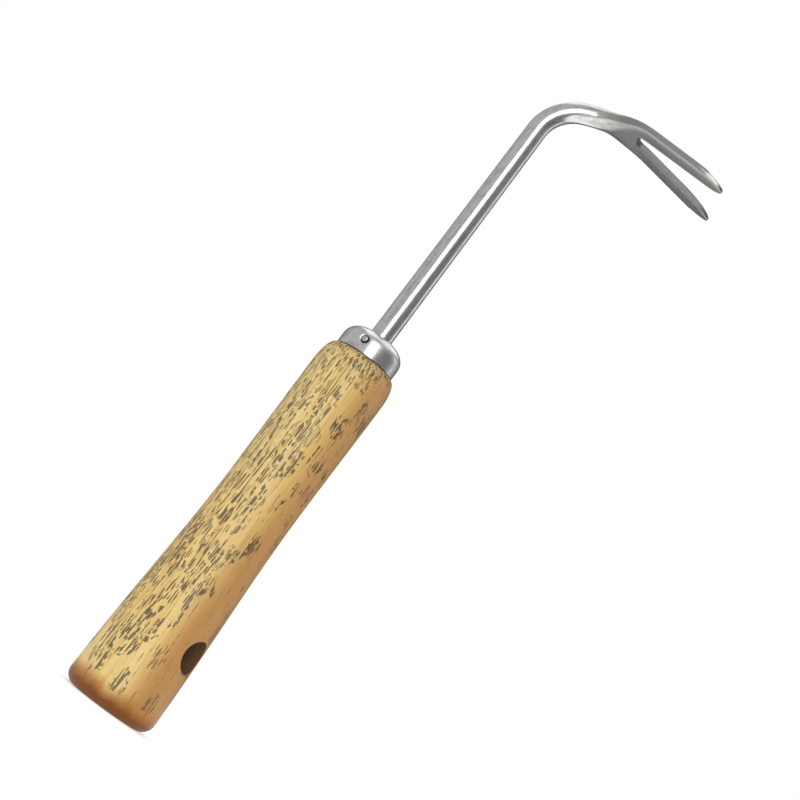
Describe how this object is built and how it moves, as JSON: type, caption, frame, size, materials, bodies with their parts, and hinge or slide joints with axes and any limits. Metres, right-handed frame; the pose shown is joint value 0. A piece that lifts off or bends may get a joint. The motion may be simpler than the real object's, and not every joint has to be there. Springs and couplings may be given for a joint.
{
  "type": "hand weeder",
  "caption": "Turned wooden grip with a hang hole, a domed steel ferrule and a bent round steel rod that ends in a flattened fork for levering out weeds.",
  "frame": {"origin": "centre of the flat butt of the grip", "axes": "+Z along the grip's axis from the butt to the rod, +X towards the side the fork reaches to, the tines spread along +Y and -Y"},
  "size_m": [0.0826, 0.0332, 0.2648],
  "materials": {
    "wood": "clear lacquered light hardwood",
    "ferrule_steel": "bright plated steel sheet",
    "nail_steel": "plain wire nail",
    "fork_steel": "polished forged steel",
    "adhesive": "set resin glue"
  },
  "bodies": {
    "root": {"handle": "wood", "ferrule": "ferrule_steel", "ferrule_pin": "nail_steel", "weeding_fork": "fork_steel", "tang_adhesive": "adhesive"}
  },
  "joints": []
}
